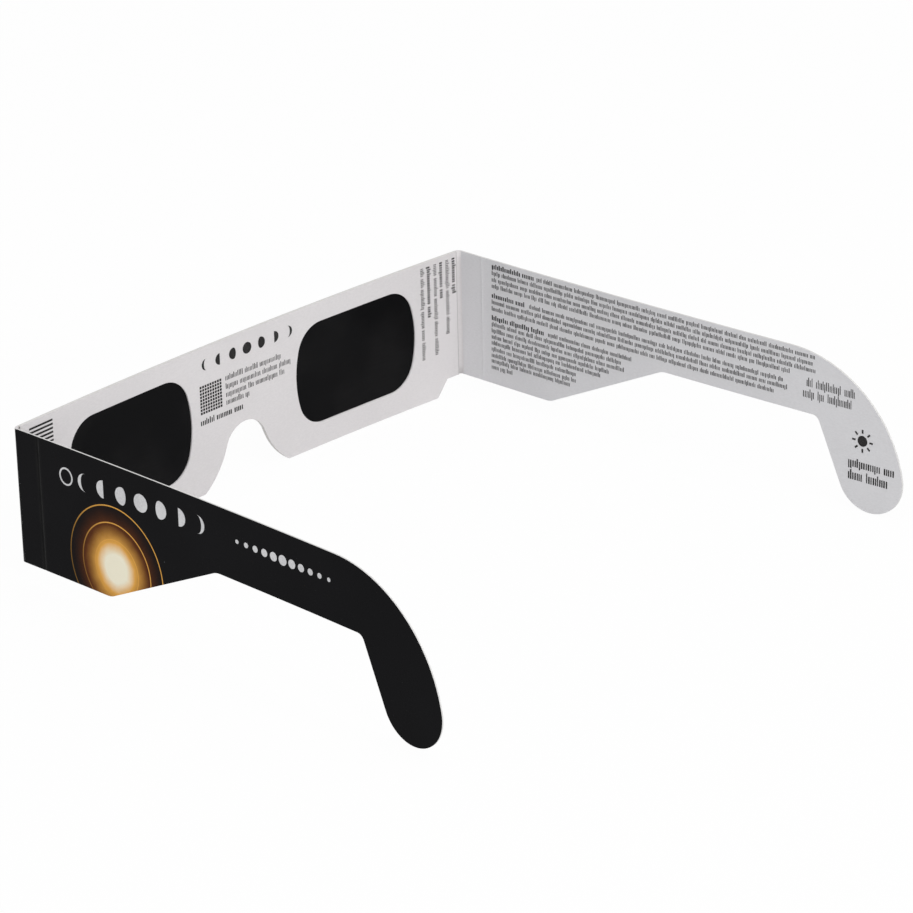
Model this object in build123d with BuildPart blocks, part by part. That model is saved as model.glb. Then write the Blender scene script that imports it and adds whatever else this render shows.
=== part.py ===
from build123d import *
import math
import os

# Eclipse glasses of folded paperboard, open as they are worn, in millimetres.
# X runs towards the wearer's left, the front looks along -Y and the temples run back along +Y.
# The origin is on the outer face of the front, at the middle of the nose notch's mouth.
# Z is 0 at the bottom edge of the front, which is level with the tips of the hooks.

# Sizes of the whole pair
WIDTH = 150.0  # over the outer faces of the temples, at the folds
HEIGHT = 37.5  # top edge to the bottom edge of the front and to the tips of the hooks
FRONT_BOW = 2.6  # how far the middle of the front stands before the folds

# Thickness of the layers, from the outer face of the front to its back
BOARD = 0.5
FILM = 0.1
LINING = 0.35

# Fold between the front and each temple
FOLD_INSIDE = 1.0  # radius of the creased board's inside
FOLD_CLEARANCE = 0.05  # from the creased board to the start of the temple
LINING_CLEARANCE = 0.1  # from the creased board to the end of the lining

# Slanted step in the bottom edge beside each fold, in from the corner where the outer faces would meet
STEP_RISE = 4.3
STEP_FOOT = 9.0
STEP_TOP = 5.6
STEP_ROUND = 0.8

# Nose notch
NOTCH_MOUTH = 28.6  # width at the bottom edge
NOTCH_HEIGHT = 14.65
NOTCH_APEX_RADIUS = 6.9
NOTCH_FLANK_RADIUS = 20.5
NOTCH_MOUTH_ROUND = 1.2

# Eye windows, given by the board that is left round them
BROW = 4.9  # above each window
CHEEK = 6.15  # below each window
BRIDGE = 35.4  # between the windows
CORNER_MARGIN = 16.35  # from each window to the corner where the outer faces would meet
WINDOW_SIDE_RADIUS = 26.5
WINDOW_CORNER_RADIUS = 8.0

# Filter films, caught between the board and the lining
FILM_LAP = 2.8  # of the film past the window, all round
FILM_CORNER_RADIUS = 2.0
FILM_CLEARANCE = 0.2  # from the edge of a film to the glue round it

# Temples, seen from the side, with distances back from the corner where the outer faces would meet
TEMPLE_LENGTH = 136.5
TEMPLE_BOW = 4.7  # how far the tip stands outside the corner
ROOT_LENGTH = 30.5  # of the deep part beside the fold
TAPER_END = 66.3
BAND_END = 112.4  # where the hook leaves the narrow band
BAND_HEIGHT = 16.25
TAPER_ROUND = 5.0
HOOK_CROOK_ROUND = 2.1
HOOK_RADIUS = 32.3
TIP_RADIUS = 9.05

# Second score on each temple, a fold line for a narrower setting
SCORE_PLACE = 8.3  # back from the same corner
SCORE_WIDTH = 0.8
SCORE_DEPTH = 0.08

# Distance that cutting tools run past what they cut
OVERRUN = 5.0

# Places worked out from the sizes
fold_outside = FOLD_INSIDE + BOARD
axis_x = WIDTH / 2 - fold_outside
bow_radius = ((WIDTH / 2) ** 2 + FRONT_BOW**2) / (2 * FRONT_BOW)
bow_centre = (0, bow_radius)
axis_y = bow_radius - math.sqrt((bow_radius - fold_outside) ** 2 - axis_x**2)
fold_axis = (axis_x, axis_y)
temple_start = axis_y + FOLD_CLEARANCE - FRONT_BOW
bow_angle = math.degrees(math.asin(axis_x / (bow_radius - fold_outside)))
lining_angle = bow_angle - math.degrees(LINING_CLEARANCE / bow_radius)
window_width = (WIDTH - BRIDGE) / 2 - CORNER_MARGIN
window_height = HEIGHT - BROW - CHEEK
window_spacing = BRIDGE + window_width
window_centre_z = CHEEK + window_height / 2
temple_reach = TEMPLE_LENGTH - temple_start
temple_bow_radius = (temple_reach**2 + TEMPLE_BOW**2) / (2 * TEMPLE_BOW)
temple_bow_centre = (WIDTH / 2 + temple_bow_radius, axis_y)
temple_bow_angle = math.degrees(math.asin((temple_reach + OVERRUN) / temple_bow_radius))
score_y = FRONT_BOW + SCORE_PLACE
score_face = temple_bow_centre[0] - math.sqrt(temple_bow_radius**2 - (score_y - axis_y) ** 2)

os.makedirs("parts", exist_ok=True)


def meeting_point(first_centre, first_radius, second_centre, second_radius):
    """Where two circles meet, on the left hand of the way from the first centre to the second."""
    across = Vector(*second_centre) - Vector(*first_centre)
    span = across.length
    along = (first_radius**2 - second_radius**2 + span**2) / (2 * span)
    aside = math.sqrt(first_radius**2 - along**2)
    direction = across.normalized()
    return Vector(*first_centre) + direction * along + direction.rotate(Axis.Z, 90) * aside


def angle_from(centre, point):
    """Direction of a point seen from a centre, in degrees from the first axis of the sketch."""
    return math.degrees(math.atan2(point.Y - centre.Y, point.X - centre.X))


def curved_strip(centre, outside, thickness, start_angle, arc_size):
    """Plan of a layer that bends about a centre, from its outside radius inwards."""
    with BuildSketch() as strip:
        with BuildLine():
            outer = CenterArc(centre, outside, start_angle, arc_size)
            inner = CenterArc(centre, outside - thickness, start_angle, arc_size)
            Line(outer @ 0, inner @ 0)
            Line(outer @ 1, inner @ 1)
        make_face()
    return strip.sketch


def front_strip(depth, thickness, half_angle):
    """Plan of one layer of the bowed front that starts a depth behind the outer face."""
    return curved_strip(bow_centre, bow_radius - depth, thickness, -90 - half_angle, 2 * half_angle)


def eye_window():
    """Opening for one eye, with bowed sides and round corners."""
    side_centre = WINDOW_SIDE_RADIUS - window_width / 2
    with BuildSketch() as window:
        Rectangle(window_width, window_height)
        for side in (-1, 1):
            with Locations((side * side_centre, 0)):
                Circle(WINDOW_SIDE_RADIUS, mode=Mode.INTERSECT)
        fillet(window.vertices(), radius=WINDOW_CORNER_RADIUS)
    return window.sketch


def film_blank(margin):
    """Rounded rectangle of a filter film, grown by a margin on every side."""
    lap = FILM_LAP + margin
    with BuildSketch() as blank:
        RectangleRounded(window_width + 2 * lap, window_height + 2 * lap, FILM_CORNER_RADIUS + margin)
    return blank.sketch


def front_outline():
    """Front view of the bowed front: stepped lower corners and a flared nose notch."""
    apex_centre = Vector(0, NOTCH_HEIGHT - NOTCH_APEX_RADIUS)
    mouth = Vector(NOTCH_MOUTH / 2, 0)
    reach = NOTCH_APEX_RADIUS + NOTCH_FLANK_RADIUS
    flank_centre = meeting_point(apex_centre, reach, mouth, NOTCH_FLANK_RADIUS)
    apex_angle = angle_from(apex_centre, flank_centre)
    with BuildSketch() as outline:
        with BuildLine():
            apex = CenterArc(apex_centre, NOTCH_APEX_RADIUS, 90, apex_angle - 90)
            RadiusArc(apex @ 1, mouth, -NOTCH_FLANK_RADIUS)
            Polyline(
                mouth,
                (WIDTH / 2 - STEP_FOOT, 0),
                (WIDTH / 2 - STEP_TOP, STEP_RISE),
                (WIDTH / 2, STEP_RISE),
                (WIDTH / 2, HEIGHT),
                (0, HEIGHT),
            )
            mirror(about=Plane.YZ)
        make_face()
        lower = outline.vertices().filter_by_position(Axis.Y, 0, STEP_RISE)
        steps = lower.filter_by(lambda v: STEP_TOP <= WIDTH / 2 - abs(v.X) <= STEP_FOOT)
        fillet(steps, radius=STEP_ROUND)
        mouths = outline.vertices().filter_by(lambda v: v.Y == 0 and abs(v.X) <= NOTCH_MOUTH / 2)
        fillet(mouths, radius=NOTCH_MOUTH_ROUND)
    return outline.sketch


def temple_outline():
    """Side view of a temple: root, taper, narrow band and round-tipped ear hook."""
    hook_centre_z = HEIGHT - HOOK_RADIUS
    tip_centre = Vector(TEMPLE_LENGTH - TIP_RADIUS, TIP_RADIUS)
    rise = tip_centre.Y - hook_centre_z
    run = math.sqrt((HOOK_RADIUS - TIP_RADIUS) ** 2 - rise**2)
    hook_centre = Vector(tip_centre.X - run, hook_centre_z)
    hook_angle = angle_from(hook_centre, tip_centre)
    crook = Vector(BAND_END, HEIGHT - BAND_HEIGHT)
    to_tip = tip_centre - crook
    swing = math.degrees(math.acos(TIP_RADIUS / to_tip.length))
    inner_angle = angle_from(tip_centre, crook) + swing - 360
    with BuildSketch() as outline:
        with BuildLine():
            back = CenterArc(hook_centre, HOOK_RADIUS, 90, hook_angle - 90)
            tip = CenterArc(tip_centre, TIP_RADIUS, hook_angle, inner_angle - hook_angle)
            Polyline(
                tip @ 1,
                crook,
                (TAPER_END, HEIGHT - BAND_HEIGHT),
                (ROOT_LENGTH, STEP_RISE),
                (temple_start, STEP_RISE),
                (temple_start, HEIGHT),
                back @ 0,
            )
        make_face()
        inside = outline.vertices().filter_by(lambda v: STEP_RISE <= v.Y < HEIGHT)
        taper = inside.filter_by(lambda v: ROOT_LENGTH <= v.X <= TAPER_END)
        fillet(taper, radius=TAPER_ROUND)
        fillet(outline.vertices().sort_by_distance(crook)[0], radius=HOOK_CROOK_ROUND)
    return outline.sketch


def pierced_front(opening):
    """Front view of the whole front, with the same opening cut at each eye."""
    with BuildSketch() as front:
        add(front_outline())
        with Locations((0, window_centre_z)):
            with GridLocations(window_spacing, 0, 2, 1):
                add(opening, mode=Mode.SUBTRACT)
    return front.sketch


def score_profile(face_x):
    """Plan of the score pressed inwards from a face of the board, down to its round bottom."""
    front_edge = score_y - SCORE_WIDTH / 2
    back_edge = score_y + SCORE_WIDTH / 2
    with BuildSketch() as score:
        with BuildLine():
            bottom = SagittaArc((face_x, front_edge), (face_x, back_edge), SCORE_DEPTH)
            Polyline(
                bottom @ 1,
                (face_x + SCORE_DEPTH, back_edge),
                (face_x + SCORE_DEPTH, front_edge),
                bottom @ 0,
            )
        make_face()
    return score.sketch


# Front board, the printed outer layer of the front
with BuildPart() as front_board:
    with BuildSketch():
        add(front_strip(0, BOARD, bow_angle))
    extrude(amount=HEIGHT)
    with BuildSketch(Plane.XZ):
        add(pierced_front(eye_window()))
    extrude(amount=FRONT_BOW + OVERRUN, both=True, mode=Mode.INTERSECT)
front_board.part.label = "front_board"
export_step(front_board.part, "parts/front_board.step")

# Front lining, the plain inner layer, which stops short of both folds
with BuildPart() as front_lining:
    with BuildSketch():
        add(front_strip(BOARD + FILM, LINING, lining_angle))
    extrude(amount=HEIGHT)
    with BuildSketch(Plane.XZ):
        add(pierced_front(eye_window()))
    extrude(amount=FRONT_BOW + OVERRUN, both=True, mode=Mode.INTERSECT)
front_lining.part.label = "front_lining"
export_step(front_lining.part, "parts/front_lining.step")

# Glue layer between the board and the lining, as thick as the films, with a pocket for each
with BuildPart() as glue_layer:
    with BuildSketch():
        add(front_strip(BOARD, FILM, lining_angle))
    extrude(amount=HEIGHT)
    with BuildSketch(Plane.XZ):
        add(pierced_front(film_blank(FILM_CLEARANCE)))
    extrude(amount=FRONT_BOW + OVERRUN, both=True, mode=Mode.INTERSECT)
glue_layer.part.label = "glue_layer"
export_step(glue_layer.part, "parts/glue_layer.step")

# Filter films, which lie in the pockets and close the windows
with BuildPart() as left_filter_film:
    with BuildSketch():
        add(front_strip(BOARD, FILM, lining_angle))
    extrude(amount=HEIGHT)
    with BuildSketch(Plane.XZ):
        with Locations((window_spacing / 2, window_centre_z)):
            add(film_blank(0))
    extrude(amount=FRONT_BOW + OVERRUN, both=True, mode=Mode.INTERSECT)
left_filter_film.part.label = "left_filter_film"
export_step(left_filter_film.part, "parts/left_filter_film.step")

with BuildPart() as right_filter_film:
    add(left_filter_film.part)
    mirror(about=Plane.YZ, mode=Mode.REPLACE)
right_filter_film.part.label = "right_filter_film"
export_step(right_filter_film.part, "parts/right_filter_film.step")

# Folds, the creased board that turns the corner from the front to each temple
with BuildPart() as left_fold:
    with BuildSketch(Plane.XY.offset(STEP_RISE)):
        add(curved_strip(fold_axis, fold_outside, BOARD, bow_angle - 90, 90 - bow_angle))
    extrude(amount=HEIGHT - STEP_RISE)
left_fold.part.label = "left_fold"
export_step(left_fold.part, "parts/left_fold.step")

with BuildPart() as right_fold:
    add(left_fold.part)
    mirror(about=Plane.YZ, mode=Mode.REPLACE)
right_fold.part.label = "right_fold"
export_step(right_fold.part, "parts/right_fold.step")

# Temples, bent outwards along their length, with a groove outside and a bead inside at the score
with BuildPart() as left_temple:
    with BuildSketch():
        add(curved_strip(temple_bow_centre, temple_bow_radius + BOARD, BOARD, 180, -temple_bow_angle))
        add(score_profile(score_face), mode=Mode.SUBTRACT)
        add(score_profile(score_face - BOARD))
    extrude(amount=HEIGHT)
    with BuildSketch(Plane(origin=(axis_x, FRONT_BOW), x_dir=(0, 1, 0), z_dir=(1, 0, 0))):
        add(temple_outline())
    extrude(amount=TEMPLE_BOW + OVERRUN, both=True, mode=Mode.INTERSECT)
left_temple.part.label = "left_temple"
export_step(left_temple.part, "parts/left_temple.step")

with BuildPart() as right_temple:
    add(left_temple.part)
    mirror(about=Plane.YZ, mode=Mode.REPLACE)
right_temple.part.label = "right_temple"
export_step(right_temple.part, "parts/right_temple.step")
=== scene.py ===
import logging
import math
import random
from collections.abc import Iterable
from dataclasses import dataclass, field
from enum import Enum

import bmesh
import bpy
from bmesh.types import BMesh
from bpy.types import Material, NodeSocket as Socket, NodeTree, Object
from mathutils import Matrix, Vector


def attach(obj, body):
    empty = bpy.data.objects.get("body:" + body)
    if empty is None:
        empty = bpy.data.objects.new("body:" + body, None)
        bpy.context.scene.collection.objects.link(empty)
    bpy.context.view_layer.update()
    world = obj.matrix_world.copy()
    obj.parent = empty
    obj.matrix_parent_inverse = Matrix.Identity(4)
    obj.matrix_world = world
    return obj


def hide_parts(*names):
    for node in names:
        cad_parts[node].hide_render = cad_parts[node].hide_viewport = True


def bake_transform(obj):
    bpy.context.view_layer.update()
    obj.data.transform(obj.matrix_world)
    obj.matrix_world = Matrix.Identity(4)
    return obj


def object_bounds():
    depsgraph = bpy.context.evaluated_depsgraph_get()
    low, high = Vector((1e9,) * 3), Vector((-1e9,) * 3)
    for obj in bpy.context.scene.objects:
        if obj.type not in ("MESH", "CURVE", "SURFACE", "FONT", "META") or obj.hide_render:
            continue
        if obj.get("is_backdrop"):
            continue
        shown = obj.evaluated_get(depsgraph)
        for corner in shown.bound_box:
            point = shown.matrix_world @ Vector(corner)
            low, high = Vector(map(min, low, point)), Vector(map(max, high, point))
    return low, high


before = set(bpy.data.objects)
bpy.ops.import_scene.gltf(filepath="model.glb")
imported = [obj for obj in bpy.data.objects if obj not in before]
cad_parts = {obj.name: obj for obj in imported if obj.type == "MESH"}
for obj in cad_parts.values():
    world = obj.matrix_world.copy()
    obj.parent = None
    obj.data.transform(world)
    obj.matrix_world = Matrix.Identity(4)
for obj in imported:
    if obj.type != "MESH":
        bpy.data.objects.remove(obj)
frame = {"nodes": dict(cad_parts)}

CAD_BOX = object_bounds()
MM = 0.001
Colour = tuple[float, float, float]
Place = tuple[float, float]
Spot = tuple[float, float, float]
Stops = tuple[tuple[float, Colour], ...]
NOISE_SPAN: Place = (0.3, 0.7)
NOISE_MIDDLE = 0.5
SOFT_DETAIL, FINE_DETAIL = 2.0, 4.0
log = logging.getLogger("eclipse_glasses")


class Side(Enum):
    """The two sides of the glasses, by the sign of X: the wearer's left is +X."""

    LEFT = 1
    RIGHT = -1

    @property
    def word(self) -> str:
        """Name of the side as the CAD nodes write it."""
        return self.name.lower()


class Tone(Enum):
    """How heavily a row of small print is set."""

    PLAIN = 0.15
    BOLD = 0.27


class Facing(Enum):
    """Which way the printed face of a board looks in the frame."""

    FRONT = (0.0, -1.0, 0.0)
    LEFT = (1.0, 0.0, 0.0)
    RIGHT = (-1.0, 0.0, 0.0)


@dataclass(frozen=True)
class BoardSizes:
    """Sizes of the folded board in metres, the same values as the solids have."""

    width: float = 150.0 * MM
    height: float = 37.5 * MM
    front_bow: float = 2.6 * MM
    board: float = 0.5 * MM
    film: float = 0.1 * MM
    lining: float = 0.35 * MM
    fold_inside: float = 1.0 * MM
    fold_clearance: float = 0.05 * MM
    step_rise: float = 4.3 * MM
    temple_length: float = 136.5 * MM
    temple_bow: float = 4.7 * MM

    @property
    def bow_radius(self) -> float:
        """Radius of the outer face of the bowed front."""
        half = self.width / 2
        return (half**2 + self.front_bow**2) / (2 * self.front_bow)

    @property
    def fold_outside(self) -> float:
        """Radius of the creased board's outer face."""
        return self.fold_inside + self.board

    @property
    def axis_x(self) -> float:
        """Distance of each fold's axis from the middle plane."""
        return self.width / 2 - self.fold_outside

    @property
    def axis_y(self) -> float:
        """Distance of the fold axes behind the foremost point of the front."""
        reach = self.bow_radius - self.fold_outside
        return self.bow_radius - math.sqrt(reach**2 - self.axis_x**2)

    @property
    def bow_angle(self) -> float:
        """Angle between a fold's front end and the middle plane, at the bow's centre."""
        return math.asin(self.axis_x / (self.bow_radius - self.fold_outside))

    @property
    def temple_bow_radius(self) -> float:
        """Radius of the outer face of a temple, which bends outwards."""
        reach = self.temple_length + self.front_bow - self.axis_y - self.fold_clearance
        return (reach**2 + self.temple_bow**2) / (2 * self.temple_bow)


@dataclass(frozen=True)
class PrintFace:
    """A face of the board that carries print, as a map from the flat blank to space."""

    sizes: BoardSizes

    def point(self, along: float, down: float, lift: float) -> Vector:
        """Finds the point in space of a place on the blank.

        Args:
            along: distance along the board, in metres.
            down: distance below the top edge.
            lift: height above the face.

        Returns:
            The point in the row frame.
        """
        return Vector((*self._plan(along, lift), self.sizes.height - down))

    def _plan(self, along: float, lift: float) -> Place:
        """Finds a place's X and Y, in each kind of face's own way."""
        raise NotImplementedError


@dataclass(frozen=True)
class LiningBack(PrintFace):
    """Back of the front's lining. Along is X, towards the wearer's left."""

    def _plan(self, along: float, lift: float) -> Place:
        """Finds a place's X and Y.

        Args:
            along: X of the place.
            lift: height above the face.

        Returns:
            Its X and Y.
        """
        s = self.sizes
        radius = s.bow_radius - s.board - s.film - s.lining
        return along, s.bow_radius - math.sqrt(radius**2 - along**2) + lift


@dataclass(frozen=True)
class TempleFace(PrintFace):
    """One face of a temple. Along runs back from the corner of the outer faces."""

    side: Side
    inside: bool

    def _plan(self, along: float, lift: float) -> Place:
        """Finds a place's X and Y.

        Args:
            along: distance back from the corner.
            lift: height above the face.

        Returns:
            Its X and Y.
        """
        s = self.sizes
        bend = s.temple_bow_radius
        radius = bend + (s.board if self.inside else 0.0)
        y = s.front_bow + along
        x = s.width / 2 + bend - math.sqrt(radius**2 - (y - s.axis_y) ** 2)
        return self.side.value * (x - lift if self.inside else x + lift), y


class NodeBench:
    """Lays out the shader nodes of one material."""

    MIX_COLOURS = (6, 7)
    MIX_RESULT = 2

    def __init__(self, name: str) -> None:
        """Starts a material with a bare principled shader.

        Args:
            name: name of the material.
        """
        self.material = bpy.data.materials.new(name)
        self.material.use_nodes = True
        self.tree = self.material.node_tree
        self.shader = self.tree.nodes["Principled BSDF"]
        self.coords = self.tree.nodes.new("ShaderNodeTexCoord")

    def link(self, source: Socket, target: Socket) -> None:
        """Joins an output socket to an input socket."""
        self.tree.links.new(source, target)

    def put(self, socket: Socket, value: object) -> None:
        """Gives an input socket a link, or a plain value.

        Args:
            socket: the input socket.
            value: an output socket to link, or a number, vector or colour.
        """
        if isinstance(value, Socket):
            self.link(value, socket)
        else:
            socket.default_value = value

    def math(self, operation: str, first: object, second: object = 0.0,
             clamp: bool = False) -> Socket:
        """Adds a math node.

        Args:
            operation: Blender's name of the operation.
            first: the first input, a socket or a number.
            second: the second input, a socket or a number.
            clamp: whether the result is kept from 0 to 1.

        Returns:
            The output socket.
        """
        node = self.tree.nodes.new("ShaderNodeMath")
        node.operation = operation
        node.use_clamp = clamp
        self.put(node.inputs[0], first)
        self.put(node.inputs[1], second)
        return node.outputs[0]

    def fade(self, value: object, start: float, end: float,
             low: float = 0.0, high: float = 1.0) -> Socket:
        """Maps a value smoothly from one span to another.

        Args:
            value: the input socket.
            start: value that gives low.
            end: value that gives high.
            low: result at start.
            high: result at end.

        Returns:
            The output socket.
        """
        node = self.tree.nodes.new("ShaderNodeMapRange")
        node.interpolation_type = "SMOOTHSTEP"
        for socket, item in zip(node.inputs, (value, start, end, low, high)):
            self.put(socket, item)
        return node.outputs[0]

    def mix(self, share: object, first: object, second: object) -> Socket:
        """Mixes two colours.

        Args:
            share: how much of the second colour, a socket or a number.
            first: the first colour.
            second: the second colour.

        Returns:
            The mixed colour's socket.
        """
        node = self.tree.nodes.new("ShaderNodeMix")
        node.data_type = "RGBA"
        self.put(node.inputs[0], share)
        for index, item in zip(self.MIX_COLOURS, (first, second)):
            self.put(node.inputs[index], (*item, 1.0) if isinstance(item, tuple) else item)
        return node.outputs[self.MIX_RESULT]

    def ramp(self, share: object, stops: Stops) -> Socket:
        """Adds a colour ramp.

        Args:
            share: the input, from 0 to 1.
            stops: positions and their colours, in rising order.

        Returns:
            The colour's socket.
        """
        node = self.tree.nodes.new("ShaderNodeValToRGB")
        points = node.color_ramp.elements
        for _ in stops[2:]:
            points.new(1.0)
        for point, (position, colour) in zip(points, stops):
            point.position = position
            point.color = (*colour, 1.0)
        self.put(node.inputs[0], share)
        return node.outputs[0]

    def along(self, axis: str) -> Socket:
        """Reads the object's own coordinate along one axis.

        Args:
            axis: X, Y or Z.

        Returns:
            The coordinate's socket, in metres.
        """
        split = self.tree.nodes.new("ShaderNodeSeparateXYZ")
        self.link(self.coords.outputs["Object"], split.inputs[0])
        return split.outputs[axis]

    def hypot(self, first: Socket, second: Socket) -> Socket:
        """Measures how far away a place is, from its two offsets.

        Args:
            first: offset along one axis.
            second: offset along the other.

        Returns:
            The distance's socket.
        """
        squares = [self.math("MULTIPLY", offset, offset) for offset in (first, second)]
        return self.math("SQRT", self.math("ADD", *squares))

    def noise(self, scale: float | Colour, detail: float = 3.0) -> Socket:
        """Adds a noise texture in the object's own coordinates.

        Args:
            scale: how fine it is, per metre, alike all round or along each axis.
            detail: number of finer layers.

        Returns:
            The noise value's socket, round 0.5.
        """
        vector = self.coords.outputs["Object"]
        if isinstance(scale, tuple):
            stretch = self.tree.nodes.new("ShaderNodeMapping")
            self.link(vector, stretch.inputs["Vector"])
            stretch.inputs["Scale"].default_value = scale
            vector, scale = stretch.outputs[0], 1.0
        node = self.tree.nodes.new("ShaderNodeTexNoise")
        self.link(vector, node.inputs["Vector"])
        node.inputs["Scale"].default_value = scale
        node.inputs["Detail"].default_value = detail
        return node.outputs["Fac"]

    def specks(self, scale: float, size: float, kept: float) -> Socket:
        """Scatters round specks, one at most in each cell.

        Args:
            scale: cells per metre.
            size: radius of the largest speck, in cells.
            kept: share of the cells that stay empty.

        Returns:
            The mask's socket.
        """
        node = self.tree.nodes.new("ShaderNodeTexVoronoi")
        self.link(self.coords.outputs["Object"], node.inputs["Vector"])
        node.inputs["Scale"].default_value = scale
        split = self.tree.nodes.new("ShaderNodeSeparateColor")
        self.link(node.outputs["Color"], split.inputs[0])
        chosen = self.fade(split.outputs[0], kept, 1.0)
        reach = self.math("MULTIPLY", chosen, size)
        near = self.math("SUBTRACT", reach, node.outputs["Distance"])
        return self.fade(near, 0.0, size / 2)

    def coat(self, colour: Socket, roughness: object, gloss: float,
             height: Socket | None = None, relief: Place = (0.0, 0.0)) -> Material:
        """Sets the principled shader's colour, roughness and gloss, and its fine relief.

        Args:
            colour: the colour's socket.
            roughness: the roughness, a socket or a number.
            gloss: level of its reflection.
            height: the relief's map, if it has one.
            relief: the relief's height in metres, and how strongly it shows.

        Returns:
            The finished material.
        """
        for name, value in (("Base Color", colour), ("Roughness", roughness),
                            ("Specular IOR Level", gloss)):
            self.put(self.shader.inputs[name], value)
        if height is not None:
            node = self.tree.nodes.new("ShaderNodeBump")
            for name, value in zip(("Distance", "Strength"), relief):
                node.inputs[name].default_value = value
            self.link(height, node.inputs["Height"])
            self.link(node.outputs["Normal"], self.shader.inputs["Normal"])
        return self.material


@dataclass(frozen=True)
class WhiteBoard:
    """Bare white paperboard: fine fibres, faint mottling, no gloss."""

    name: str = "white_paperboard"
    light: Colour = (0.739, 0.716, 0.722)
    dull: Colour = (0.699, 0.677, 0.683)
    # Darker colour painted past the end: a painted shadow of the lining's step at the fold, not
    # handling dirt.
    painted_step_shadow: Colour = (0.40, 0.385, 0.385)
    end: float | None = None
    end_softness: float = 0.3 * MM
    fibre_scale: Colour = (1300.0, 1300.0, 3200.0)
    cloud_scale: float = 38.0
    fibre_share: float = 0.55
    mottling: Place = (0.36, 0.64)
    roughness: Place = (0.72, 0.88)
    gloss: float = 0.22
    relief: Place = (0.02 * MM, 0.18)

    def colour(self, bench: NodeBench) -> Socket:
        """Makes the board's colour, with a painted shadow past its end where it has one: the
        shade of the lining's step at the fold.

        Args:
            bench: where its nodes are laid out.

        Returns:
            The colour's socket.
        """
        fibres, clouds = bench.noise(self.fibre_scale), bench.noise(self.cloud_scale)
        share = bench.math("ADD", bench.math("MULTIPLY", fibres, self.fibre_share),
                           bench.math("MULTIPLY", clouds, 1 - self.fibre_share))
        board = bench.mix(bench.fade(share, *self.mottling), self.dull, self.light)
        if self.end is None:
            return board
        # Painted shadow: past the end the board turns to the darker colour, standing in for the
        # shade of the step.
        out = bench.math("ABSOLUTE", bench.along("X"))
        past = bench.fade(out, self.end, self.end + self.end_softness)
        return bench.mix(past, board, self.painted_step_shadow)

    def make(self) -> Material:
        """Builds the material.

        Returns:
            The material.
        """
        bench = NodeBench(self.name)
        fibres = bench.noise(self.fibre_scale, FINE_DETAIL)
        return bench.coat(self.colour(bench), bench.fade(fibres, *NOISE_SPAN, *self.roughness),
                          self.gloss, fibres, self.relief)


@dataclass(frozen=True)
class SunAndOrbits:
    """Printed motif of the dark side: a small low sun with thin orbit lines round it.

    Lengths are in metres, and shares are shares of the glow's reach.
    """

    sun: Place
    reach: float
    orbit_gap: float = 4.1 * MM
    orbit_line: Place = (0.22 * MM, 0.06 * MM)
    first_orbit_share: float = 0.42
    inner_shares: Place = (0.38, 0.44)
    outer_shares: Place = (1.09, 1.02)
    dim_side: float = 0.25
    core: Colour = (1.0, 0.95, 0.76)
    gold: Colour = (0.86, 0.44, 0.09)
    ember: Colour = (0.20, 0.055, 0.012)
    dark: Colour = (0.0, 0.0, 0.0)
    stops: Stops = ((0.0, core), (0.20, core), (0.36, gold), (0.62, ember), (1.0, dark))
    full_share: float = 0.25
    haze_scale: float = 140.0
    haze_share: float = 0.16

    def colour(self, bench: NodeBench, across: str, ground: Socket) -> Socket:
        """Prints the motif over a ground colour.

        Args:
            bench: where its nodes are laid out.
            across: axis that runs along the board, X or Y.
            ground: the colour under it.

        Returns:
            The colour's socket.
        """
        side = bench.math("SUBTRACT", bench.along(across), self.sun[0])
        rise = bench.math("SUBTRACT", bench.along("Z"), self.sun[1])
        far = bench.hypot(side, rise)
        haze = bench.math("SUBTRACT", bench.noise(self.haze_scale), NOISE_MIDDLE)
        wobble = bench.math("MULTIPLY", haze, self.reach * self.haze_share)
        share = bench.math("DIVIDE", bench.math("ADD", far, wobble), self.reach, clamp=True)
        weight = bench.fade(share, 1.0, self.full_share)
        lit = bench.mix(weight, ground, bench.ramp(share, self.stops))
        turn = bench.fade(bench.math("ADD", side, rise), -self.reach, self.reach,
                          self.dim_side, 1.0)
        orbits = bench.math("MULTIPLY", self._orbits(bench, far), turn)
        return bench.mix(orbits, lit, self.gold)

    def _orbits(self, bench: NodeBench, far: Socket) -> Socket:
        """Marks the evenly spaced orbit lines, from the glow to just past its reach.

        Args:
            bench: where its nodes are laid out.
            far: distance from the sun's middle.

        Returns:
            The mask's socket.
        """
        past = bench.math("SUBTRACT", far, self.reach * self.first_orbit_share)
        line = bench.fade(bench.math("PINGPONG", past, self.orbit_gap / 2), *self.orbit_line)
        inner, outer = [bench.fade(far, *(self.reach * share for share in shares))
                        for shares in (self.inner_shares, self.outer_shares)]
        return bench.math("MULTIPLY", line, bench.math("MULTIPLY", inner, outer))


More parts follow.
